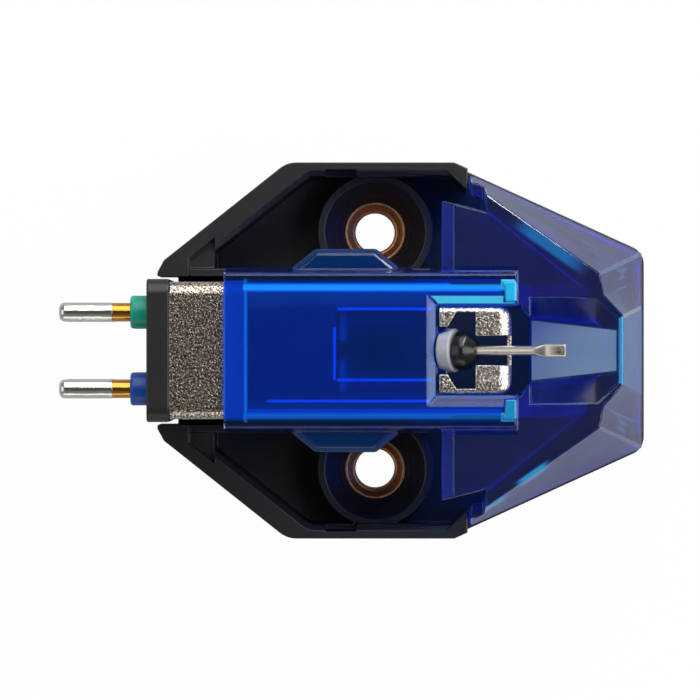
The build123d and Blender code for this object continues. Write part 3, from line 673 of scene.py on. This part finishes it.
# %% Clean bevels
def draw_back(piece, surface, width):
    """Sets points that a bevel threw off, where three short edges meet, back on the drawn surface."""
    stray = 0
    for point in piece.data.vertices:
        spot, normal, index, distance = surface.find_nearest(point.co)
        if distance > width * MM:
            point.co = spot
            stray += 1
    print(piece.name, "stray points drawn back:", stray)


SAME_SURFACE = cos(radians(30))
SAME_CORNER = cos(radians(60))


def even_normals(piece):
    """Shades flat and curved faces by themselves, and rolled corners as the turn between them."""
    mesh = piece.data
    faces = [(f.normal.copy(), f.area, f.material_index == ROLLED) for f in mesh.polygons]
    around = [[] for point in mesh.vertices]
    for face in mesh.polygons:
        for point in face.vertices:
            around[point].append(faces[face.index])
    shading = [Vector()] * len(mesh.loops)
    for face in mesh.polygons:
        normal, area, rolled = faces[face.index]
        limit = SAME_CORNER if rolled else SAME_SURFACE
        for loop, point in zip(face.loop_indices, face.vertices):
            near = [f for f in around[point] if f[0].dot(normal) > limit]
            drawn = [f for f in near if not f[2]] or near or [faces[face.index]]
            shading[loop] = sum((f[0] * f[1] for f in drawn), Vector()).normalized()
    mesh.normals_split_custom_set(shading)


# %% Rounded copies
ROLL_FROM = radians(24)
SAME_POINT = 2e-7
STILL_FLAT = radians(1)


def softened(node, body, slot, finish, width, segments=3, stays_sharp=None):
    """Copy of a frame node with its corners rolled, standing for that node."""
    form = bmesh.new()
    form.from_mesh(frame["nodes"][node].data)
    bmesh.ops.remove_doubles(form, verts=form.verts, dist=SAME_POINT)
    bmesh.ops.dissolve_limit(form, angle_limit=STILL_FLAT, verts=form.verts, edges=form.edges)
    bmesh.ops.connect_verts_concave(form, faces=form.faces)
    surface = BVHTree.FromBMesh(form)
    weight = form.edges.layers.float.new("bevel_weight_edge")
    for edge in form.edges:
        sharp = stays_sharp is not None and stays_sharp(edge)
        edge[weight] = float(edge.calc_face_angle(0) > ROLL_FROM and not sharp)
    piece = new_piece(node + "_finished", form)
    for spare in range(2):
        piece.data.materials.append(None)
    roll = piece.modifiers.new("rolled corners", "BEVEL")
    roll.material = ROLLED
    roll.width = width * MM
    roll.segments = segments
    roll.limit_method = "WEIGHT"
    roll.use_clamp_overlap = False
    settle(piece)
    draw_back(piece, surface, width)
    even_normals(piece)
    if finish == blue_plastic:
        mark_painted_glow_faces(piece)
    return hand_over(piece, body, slot, finish, node)


# %% [markdown]
# ## Moulded and pressed pieces
# The housing, the pin carrier and the blue holder come from moulds, and the can and the bracket
# from a press. Each keeps its drawn shape and gets the corner that its making leaves: wide on
# thick mouldings, narrow on sheet metal. The rims of the pin holes stay sharp under the collars.

# %% Moulded and pressed pieces
TERMINALS = ("green", "blue", "red", "white")
PIN_HOLE_REACH = 0.6
pin_boxes = {colour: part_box("pin_" + colour) for colour in TERMINALS}
pin_middles = {colour: (low + high) / 2 / MM for colour, (low, high) in pin_boxes.items()}


def beside_pin(edge):
    """True for the rim of a pin hole, which a collar covers."""
    middle = (edge.verts[0].co + edge.verts[1].co) / 2 / MM
    return any((axis - middle).yz.length < PIN_HOLE_REACH for axis in pin_middles.values())


housing_abs = black_abs("black ABS, satin mould grain", "111012", "1a191b")
blue_plastic = dyed_polycarbonate()
can_plate = nickel_plate(
    "nickel plate, coarse crystals", "5a4a3c", "f6eadc", 0.8, RUBBED)
bracket_plate = nickel_plate("nickel plate, bright", "a0948a", "fff8f0", 0.9)
softened("housing", "cartridge_body", "housing_black", housing_abs, 0.07)
softened("pin_carrier", "cartridge_body", "carrier_black",
         black_abs("black ABS, smooth plug", "0f0f11", "171618"), 0.10, stays_sharp=beside_pin)
softened("generator_can", "cartridge_body", "can_nickel", can_plate, 0.05)
softened("stylus_holder", "stylus_unit", "holder_blue", blue_plastic, 0.11)
softened("pivot_bracket", "stylus_unit", "bracket_nickel", bracket_plate, 0.05)
softened("suspension_ring", "stylus_unit", "ring_grey",
         plain_plastic("grey silicone rubber", "8a8e97", "aeb1b9", 0.3, 0.42, 0.2), 0.12)

# %% [markdown]
# ## Ribs under the roof
# Fine ribs stand under the sleeve's roof and steer it along the can. They carry the full
# painted glow, so they show through the roof as thin painted azure lines round the can's window.

# %% Roof ribs
CAN_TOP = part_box("generator_can")[1].z / MM
SLEEVE_GAP = 0.06
RIB_HALF, RIB_DEPTH, RIB_ROOT = 0.075, 0.04, 0.02
RIB_GLOW = 1.0
ROOF_RIBS = [
    ((-2.03, 2.17), (2.83, 2.17)), ((-2.16, 1.23), (-2.16, -1.54)),
    ((-2.03, -1.54), (2.83, -1.54)), ((-5.7, -2.64), (2.83, -2.64))]


def rib_form():
    """Half-round bars that hang from the roof between their two ends."""
    form = bmesh.new()
    roof = CAN_TOP + SLEEVE_GAP
    section = [(RIB_HALF, RIB_ROOT), (-RIB_HALF, RIB_ROOT)]
    section += [(-RIB_HALF * cos(pi * k / 6), -RIB_DEPTH * sin(pi * k / 6)) for k in range(7)]
    for start, end in ROOF_RIBS:
        run = (Vector(end) - Vector(start)).normalized()
        aside = Vector((-run.y, run.x))
        rings = [[form.verts.new(Vector((*(Vector(spot) + aside * wide), roof + high)) * MM)
                  for wide, high in section] for spot in (start, end)]
        for k in range(len(section)):
            m = (k + 1) % len(section)
            form.faces.new((rings[0][k], rings[0][m], rings[1][m], rings[1][k]))
        form.faces.new(rings[0])
        form.faces.new(rings[1])
    bmesh.ops.recalc_face_normals(form, faces=form.faces)
    return form


ribs = new_piece("roof_ribs", rib_form())
ribs.data.set_sharp_from_angle(angle=radians(40))
# The ribs get the full painted glow.
set_faces(ribs.data, "face_painted_glow", [RIB_GLOW] * len(ribs.data.polygons))
hand_over(ribs, "stylus_unit", "holder_blue", blue_plastic)

# %% [markdown]
# ## Turned pieces
# Pins, collars and inserts come off a lathe, so each is one profile spun about its axis.
# Corners in a profile are eased with a short curve. The pins are all alike: one is turned,
# and a small geometry tree sets it at the four places of the terminal block.

# %% Profile and lathe
def eased(points, steps=4):
    """Profile in which each (along, radius, ease) corner is rounded over that length."""
    flat = [Vector(p[:2]) for p in points]
    curve = []
    for i, (along, radius, ease) in enumerate(points):
        corner = flat[i]
        if ease == 0:
            curve.append(corner)
            continue
        before = corner + (flat[i - 1] - corner).normalized() * ease
        after = corner + (flat[i + 1] - corner).normalized() * ease
        for k in range(steps + 1):
            t = k / steps
            curve.append(before * (1 - t) ** 2 + corner * 2 * t * (1 - t) + after * t ** 2)
    return curve


def lathe(profile, place, around=64, closed=False):
    """Form turned about the X axis of a place, from (along, radius) points in millimetres."""
    form = bmesh.new()
    rings = []
    for along, radius in profile:
        if radius < 1e-6:
            rings.append([form.verts.new(place @ Vector((along, 0, 0)) * MM)])
            continue
        turn = [2 * pi * k / around for k in range(around)]
        rings.append([form.verts.new(
            place @ Vector((along, radius * cos(a), radius * sin(a))) * MM) for a in turn])
    pairs = list(zip(rings, rings[1:])) + ([(rings[-1], rings[0])] if closed else [])
    for one, two in pairs:
        for k in range(around):
            m = (k + 1) % around
            corners = [one[k % len(one)], one[m % len(one)], two[m % len(two)], two[k % len(two)]]
            form.faces.new(list(dict.fromkeys(corners)))
    bmesh.ops.recalc_face_normals(form, faces=form.faces)
    return form


# %% Tree that sets a piece at four places
def geometry_tree(name, **sizes):
    """Geometry tree with one geometry input and output, and a named input for each size."""
    tree = bpy.data.node_groups.new(name, "GeometryNodeTree")
    tree.interface.new_socket("Geometry", in_out="INPUT", socket_type="NodeSocketGeometry")
    for label, kind in sizes.items():
        tree.interface.new_socket(label, in_out="INPUT", socket_type=kind)
    tree.interface.new_socket("Geometry", in_out="OUTPUT", socket_type="NodeSocketGeometry")
    print("tree:", name, list(sizes))
    return tree, add(tree, "NodeGroupInput").outputs


def close_tree(tree, size, geometry):
    """Ends a tree with a plain mesh in the finish that it is given."""
    real = add(tree, "GeometryNodeRealizeInstances", {"Geometry": geometry})
    dressed = add(tree, "GeometryNodeSetMaterial", {
        "Geometry": real.outputs[0], "Material": size["Finish"]})
    add(tree, "NodeGroupOutput", {"Geometry": dressed.outputs[0]})
    return tree


def set_tree(piece, tree, **values):
    """Adds a geometry tree to a piece and sets its inputs by their identifiers."""
    modifier = piece.modifiers.new(tree.name, "NODES")
    modifier.node_group = tree
    sockets = {s.name: s.identifier for s in tree.interface.items_tree if s.in_out == "INPUT"}
    for label, value in values.items():
        modifier[sockets[label]] = value
    return modifier


def four_places_tree():
    """Copies of a piece at the corners of an upright rectangle across the X axis."""
    tree, size = geometry_tree(
        "four places", Across="NodeSocketFloat", Upright="NodeSocketFloat",
        Middle="NodeSocketFloat", Finish="NodeSocketMaterial")
    grid = add(tree, "GeometryNodeMeshGrid", {
        "Size X": size["Upright"], "Size Y": size["Across"], "Vertices X": 2, "Vertices Y": 2})
    middle = add(tree, "ShaderNodeCombineXYZ", {2: size["Middle"]})
    turned = add(tree, "GeometryNodeTransform", {
        "Geometry": grid.outputs["Mesh"], "Translation": middle.outputs[0], "Rotation": (0, pi / 2, 0)})
    copies = add(tree, "GeometryNodeInstanceOnPoints", {
        "Points": turned.outputs[0], "Instance": size["Geometry"]})
    return close_tree(tree, size, copies.outputs[0])


four_places = four_places_tree()

# %% Terminal pins
PIN_REAR = pin_boxes["green"][0].x / MM
PIN_END = pin_boxes["green"][1].x / MM
PIN_RADIUS = (pin_boxes["green"][1].z - pin_boxes["green"][0].z) / 2 / MM
COLLAR_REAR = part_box("collar_green")[0].x / MM
COLLAR_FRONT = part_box("collar_green")[1].x / MM
COLLAR_RADIUS = (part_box("collar_green")[1].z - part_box("collar_green")[0].z) / 2 / MM
SHANK_RADIUS = 0.33
BAND_STEP = 0.02

plating = pin_plating()
pin = new_piece("terminal_pins", lathe(eased([
    (PIN_REAR, 0, 0), (PIN_REAR, PIN_RADIUS, 0.34), (GILT_FROM, PIN_RADIUS, 0.02),
    (GILT_FROM, PIN_RADIUS - BAND_STEP, 0.01), (COLLAR_REAR, PIN_RADIUS - BAND_STEP, 0.02),
    (COLLAR_REAR, SHANK_RADIUS, 0), (PIN_END, SHANK_RADIUS, 0.05), (PIN_END, 0, 0)]), Matrix()))
set_tree(
    pin, four_places, Across=(pin_middles["green"].y - pin_middles["blue"].y) * MM,
    Upright=(pin_middles["green"].z - pin_middles["red"].z) * MM,
    Middle=(pin_middles["green"].z + pin_middles["red"].z) / 2 * MM, Finish=plating)
settle(pin)
hand_over(pin, "cartridge_body", "pin_plating", plating, *["pin_" + c for c in TERMINALS])

# %% Coloured collars
COLLAR_TONES = {"green": ("00a68a", "0cba9c"), "blue": ("0046a2", "0a5cc0"),
                "red": ("a01818", "bf2a26"), "white": ("d8d6d0", "ecebe6")}
for colour, (dark, pale) in COLLAR_TONES.items():
    paint = plain_plastic("vinyl sleeve, " + colour, dark, pale, 0.5, 0.34, 0.25)
    place = Matrix.Translation((0, pin_middles[colour].y, pin_middles[colour].z))
    collar = new_piece("collar_" + colour + "_finished", lathe(eased([
        (COLLAR_REAR, SHANK_RADIUS, 0), (COLLAR_REAR, COLLAR_RADIUS, 0.17),
        (COLLAR_FRONT, COLLAR_RADIUS, 0.04), (COLLAR_FRONT, SHANK_RADIUS, 0)]), place, closed=True))
    hand_over(collar, "cartridge_body", "collar_" + colour, paint, "collar_" + colour)

# %% [markdown]
# ## Threaded inserts
# A brass insert is a turned ring with a countersunk mouth, and its thread is a ridge that
# winds up the bore. The ridge follows a spiral curve, so a geometry tree sweeps a small
# diamond along it and sets it at both screw places.

# %% Thread tree
def thread_tree():
    """Helical ridge about Z at the two screw places."""
    tree, size = geometry_tree(
        "screw thread", Turns="NodeSocketFloat", Root="NodeSocketFloat", Rise="NodeSocketFloat",
        Tooth="NodeSocketFloat", Foot="NodeSocketFloat", Spacing="NodeSocketFloat",
        Finish="NodeSocketMaterial")
    spiral = add(tree, "GeometryNodeCurveSpiral", {
        "Resolution": 48, "Rotations": size["Turns"], "Start Radius": size["Root"],
        "End Radius": size["Root"], "Height": size["Rise"]})
    tooth = add(tree, "GeometryNodeCurvePrimitiveCircle", {"Resolution": 4, "Radius": size["Tooth"]})
    ridge = add(tree, "GeometryNodeCurveToMesh", {
        "Curve": spiral.outputs[0], "Profile Curve": tooth.outputs[0], "Fill Caps": True})
    half_spacing = add(tree, "ShaderNodeMath", {0: size["Spacing"], 1: -0.5}, operation="MULTIPLY")
    start = add(tree, "ShaderNodeCombineXYZ", {1: half_spacing.outputs[0], 2: size["Foot"]})
    step = add(tree, "ShaderNodeCombineXYZ", {1: size["Spacing"]})
    pair = add(tree, "GeometryNodeMeshLine", {
        "Count": 2, "Start Location": start.outputs[0], "Offset": step.outputs[0]})
    copies = add(tree, "GeometryNodeInstanceOnPoints", {
        "Points": pair.outputs[0], "Instance": ridge.outputs[0]})
    return close_tree(tree, size, copies.outputs[0])


# %% Inserts and their thread
THREAD_CREST = 1.05
THREAD_PITCH = 0.45
THREAD_TOOTH = 0.15
MOUTH_RADIUS = 1.5
THREAD_ROOT = THREAD_CREST + THREAD_TOOTH

brass = plain_metal("turned brass", "b87038", "f6c080", 0.12, (1.0, 1.0, 1.0), 0.40, 0.3)
ring_profile = eased([
    (0, INSERT_RADIUS, 0.05), (INSERT_TOP, INSERT_RADIUS, 0.06), (INSERT_TOP, MOUTH_RADIUS, 0.03),
    (INSERT_TOP - MOUTH_RADIUS + THREAD_ROOT, THREAD_ROOT, 0.04), (0, THREAD_ROOT, 0)])
inserts = bmesh.new()
for side in (1, -1):
    upright = Matrix.Translation((0, side * SCREW_AXIS, 0)) @ Matrix.Rotation(-pi / 2, 4, "Y")
    ring = lathe(ring_profile, upright, closed=True)
    part = bpy.data.meshes.new("one insert")
    ring.to_mesh(part)
    ring.free()
    inserts.from_mesh(part)
insert_pair = new_piece("thread_inserts_finished", inserts)
hand_over(insert_pair, "cartridge_body", "insert_brass", brass, "thread_inserts")

thread_rise = INSERT_TOP - MOUTH_RADIUS + THREAD_ROOT - 2 * THREAD_TOOTH
thread = new_piece("insert_threads", bmesh.new())
set_tree(
    thread, thread_tree(), Turns=thread_rise / THREAD_PITCH, Root=THREAD_ROOT * MM, Rise=thread_rise * MM,
    Tooth=THREAD_TOOTH * MM, Foot=THREAD_TOOTH * MM, Spacing=2 * SCREW_AXIS * MM, Finish=brass)
settle(thread)
hand_over(thread, "cartridge_body", "insert_brass", brass)

# %% [markdown]
# ## The moving arm
# The arm is a thin aluminium tube that is pinched flat at one end to hold the diamond, and
# a black rubber damper carries it at the other. Both lie along a line that tilts up from the
# pivot, so they are made along X about the pivot and then set in place by one matrix.

# %% Pivot place
joints = {j["name"]: j for j in frame["record"]["behaviour"]["joints"]}
pivot_place = Vector(joints["stylus_dip"]["pos_m"]) / MM
swing_axis = joints["stylus_swing"]["axis"]
TRACKING = atan2(-swing_axis[0], swing_axis[2])
on_pivot = Matrix.Translation(pivot_place) @ Matrix.Rotation(-TRACKING, 4, "Y")
print("the arm rises by", round(TRACKING / radians(1), 1), "degrees")

# %% Rubber damper
DAMPER_REAR, DAMPER_FRONT = -0.03, 1.10
DAMPER_DRUM = 0.60
DAMPER_RADIUS = 1.02
DAMPER_BORE = 0.345
DAMPER_NOSE = 0.46

butyl = plain_plastic("black butyl rubber", "0b0b0d", "161618", 0.25, 0.24, 0.15)
damper = new_piece("rubber_damper_finished", lathe(eased([
    (DAMPER_REAR, DAMPER_BORE, 0), (DAMPER_REAR, DAMPER_RADIUS, 0.16),
    (DAMPER_DRUM, DAMPER_RADIUS, 0.22), (DAMPER_FRONT, DAMPER_NOSE, 0.07),
    (DAMPER_FRONT, DAMPER_BORE, 0)], 6), on_pivot, closed=True))
hand_over(damper, "suspension", "damper_rubber", butyl, "rubber_damper")

# %% Cantilever
ARM_REAR, ARM_PINCH, ARM_FLAT = -1.5, 4.25, 5.05
ARM_RADIUS = 0.255
PADDLE_WIDTH, PADDLE_SHEET, PADDLE_EASE = 0.68, 0.22, 0.05
TIP_AHEAD = (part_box("stylus_diamond")[0].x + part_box("stylus_diamond")[1].x) / 2 / MM
PADDLE_PAST_TIP = 0.4
ARM_END = (TIP_AHEAD - pivot_place.x) / cos(TRACKING) + PADDLE_PAST_TIP
ARM_AROUND = 40
ARM_EASE = 0.03
PINCH_STEPS = 10
ROUND, SQUARE = 2, 5


def arm_section(form, x, width, thickness, squareness):
    """Ring of points across the arm: a circle that can turn into a rounded flat bar."""
    ring = []
    for k in range(ARM_AROUND):
        a = 2 * pi * k / ARM_AROUND
        y = copysign(abs(cos(a)) ** (2 / squareness), cos(a)) * width / 2
        z = copysign(abs(sin(a)) ** (2 / squareness), sin(a)) * thickness / 2
        ring.append(form.verts.new(on_pivot @ Vector((x, y, z)) * MM))
    return ring


def cantilever_form():
    """Tube from the magnets to the pinch, then a smooth change to the flat end."""
    form = bmesh.new()
    tube = 2 * ARM_RADIUS
    mouth = tube - 2 * ARM_EASE
    rings = [arm_section(form, ARM_REAR, mouth, mouth, ROUND),
             arm_section(form, ARM_REAR + ARM_EASE, tube, tube, ROUND)]
    for k in range(PINCH_STEPS + 1):
        t = k / PINCH_STEPS
        smooth = t * t * (3 - 2 * t)
        rings.append(arm_section(
            form, ARM_PINCH + (ARM_FLAT - ARM_PINCH) * t, tube + (PADDLE_WIDTH - tube) * smooth,
            tube + (PADDLE_SHEET - tube) * smooth, ROUND + (SQUARE - ROUND) * smooth))
    rings.append(arm_section(form, ARM_END - ARM_EASE, PADDLE_WIDTH, PADDLE_SHEET, SQUARE))
    rings.append(arm_section(
        form, ARM_END, PADDLE_WIDTH - PADDLE_EASE, PADDLE_SHEET - PADDLE_EASE, SQUARE))
    for one, two in zip(rings, rings[1:]):
        for k in range(ARM_AROUND):
            m = (k + 1) % ARM_AROUND
            form.faces.new((one[k], one[m], two[m], two[k]))
    form.faces.new(rings[0])
    form.faces.new(rings[-1])
    bmesh.ops.recalc_face_normals(form, faces=form.faces)
    return form


drawn_aluminium = plain_metal(
    "drawn aluminium tube", "c9c0b2", "f0eade", 0.10, (0.12, 1.0, 1.0), 0.30, 0.2)
arm = new_piece("cantilever_finished", cantilever_form())
arm.data.set_sharp_from_angle(angle=radians(40))
hand_over(arm, "cantilever_arm", "cantilever_aluminium", drawn_aluminium, "cantilever")
frame["nodes"]["stylus_diamond"].material_slots[0].material = cut_diamond()

# %% [markdown]
# ## Inside the can
# The cores, bobbins, coils and magnets hardly show, but the blue holder comes off and the
# can has a window, so they get their own finishes. Each coil is a wire wound on a square
# spool: a geometry tree bends a spiral to that square and sweeps the wire along it. A real
# wire is hair-thin, so the turns are drawn three times as thick as they are, to show at all.

# %% Coil tree
CORNER_POWER = 8.0


def winding_tree():
    """Wire wound as a rounded square about the X axis."""
    tree, size = geometry_tree(
        "coil winding", Turns="NodeSocketFloat", Length="NodeSocketFloat", Wire="NodeSocketFloat",
        Width="NodeSocketFloat", Height="NodeSocketFloat", Start="NodeSocketFloat",
        Finish="NodeSocketMaterial")
    spiral = add(tree, "GeometryNodeCurveSpiral", {
        "Resolution": 20, "Rotations": size["Turns"], "Start Radius": 1.0, "End Radius": 1.0,
        "Height": size["Length"]})
    spot = add(tree, "ShaderNodeSeparateXYZ", {0: add(tree, "GeometryNodeInputPosition").outputs[0]})
    powers = [add(tree, "ShaderNodeMath", {
        0: add(tree, "ShaderNodeMath", {0: spot.outputs[i]}, operation="ABSOLUTE").outputs[0],
        1: CORNER_POWER}, operation="POWER").outputs[0] for i in (0, 1)]
    total = add(tree, "ShaderNodeMath", {0: powers[0], 1: powers[1]}, operation="ADD")
    stretch = add(tree, "ShaderNodeMath", {0: total.outputs[0], 1: -1 / CORNER_POWER}, operation="POWER")
    sides = []
    for i, label in ((0, "Height"), (1, "Width")):
        grown = add(tree, "ShaderNodeMath", {0: spot.outputs[i], 1: stretch.outputs[0]}, operation="MULTIPLY")
        reach = add(tree, "ShaderNodeMath", {0: size[label], 1: 0.5}, operation="MULTIPLY")
        sides.append(add(tree, "ShaderNodeMath", {
            0: grown.outputs[0], 1: reach.outputs[0]}, operation="MULTIPLY").outputs[0])
    along = add(tree, "ShaderNodeMath", {0: spot.outputs[2], 1: size["Start"]}, operation="ADD")
    moved = add(tree, "ShaderNodeCombineXYZ", {0: along.outputs[0], 1: sides[1], 2: sides[0]})
    square = add(tree, "GeometryNodeSetPosition", {
        "Geometry": spiral.outputs[0], "Position": moved.outputs[0]})
    section = add(tree, "GeometryNodeCurvePrimitiveCircle", {"Resolution": 6, "Radius": size["Wire"]})
    wire = add(tree, "GeometryNodeCurveToMesh", {
        "Curve": square.outputs[0], "Profile Curve": section.outputs[0], "Fill Caps": True})
    return close_tree(tree, size, wire.outputs[0])


# %% Coils
WIRE_RADIUS = 0.055
COILS = [f"coil_{channel}_{level}" for channel in ("left", "right") for level in ("upper", "lower")]
coil_box = {name: [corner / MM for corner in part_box(name)] for name in COILS}
coil_low, coil_high = coil_box["coil_left_upper"]
coil_middle = {name: (low + high) / 2 for name, (low, high) in coil_box.items()}
coil_length = coil_high.x - coil_low.x - 2 * WIRE_RADIUS

enamel = plain_metal("enamelled copper wire", "8e4a20", "c27a42", 0.3, (1.0, 1.0, 1.0), 0.34, 0.1)
coils = new_piece("coil_turns", bmesh.new())
set_tree(
    coils, winding_tree(), Turns=coil_length / (2 * WIRE_RADIUS), Length=coil_length * MM,
    Wire=WIRE_RADIUS * MM, Start=(coil_low.x + WIRE_RADIUS) * MM,
    Width=(coil_high.y - coil_low.y - 2 * WIRE_RADIUS) * MM,
    Height=(coil_high.z - coil_low.z - 2 * WIRE_RADIUS) * MM, Finish=enamel)
upper, lower = coil_middle["coil_left_upper"], coil_middle["coil_left_lower"]
set_tree(
    coils, four_places, Across=2 * upper.y * MM, Upright=(upper.z - lower.z) * MM,
    Middle=(upper.z + lower.z) / 2 * MM, Finish=enamel)
settle(coils)
hand_over(coils, "cartridge_body", "coil_copper", enamel)
for name in COILS:
    frame["nodes"][name].material_slots[0].material = enamel

# %% Cores, bobbins and magnets
LAMINATION = 0.16

core_steel = plain_metal(
    "laminated core steel", "6d6a68", "a5a29d", LAMINATION, (0.05, 1.0, 0.05), 0.38, 0.7)
nylon = plain_plastic("natural nylon", "cbbf9f", "e2d8bd", 0.6, 0.40, 0.1)
resin = plain_plastic("brown moulding resin", "3a322c", "52473e", 0.3, 0.36, 0.2)
ferrite = plain_plastic("ground magnet", "28282a", "3c3c3e", 0.12, 0.30, 0.25)
for channel in ("left", "right"):
    softened("core_" + channel, "cartridge_body", "core_steel", core_steel, 0.03, 2)
    softened("magnet_" + channel, "cantilever_arm", "magnet_black", ferrite, 0.03, 2)
    for level in ("upper", "lower"):
        softened(f"bobbin_{channel}_{level}", "cartridge_body", "bobbin_plastic", nylon, 0.03, 2)
softened("magnet_holder", "cantilever_arm", "magnet_resin", resin, 0.03, 2)
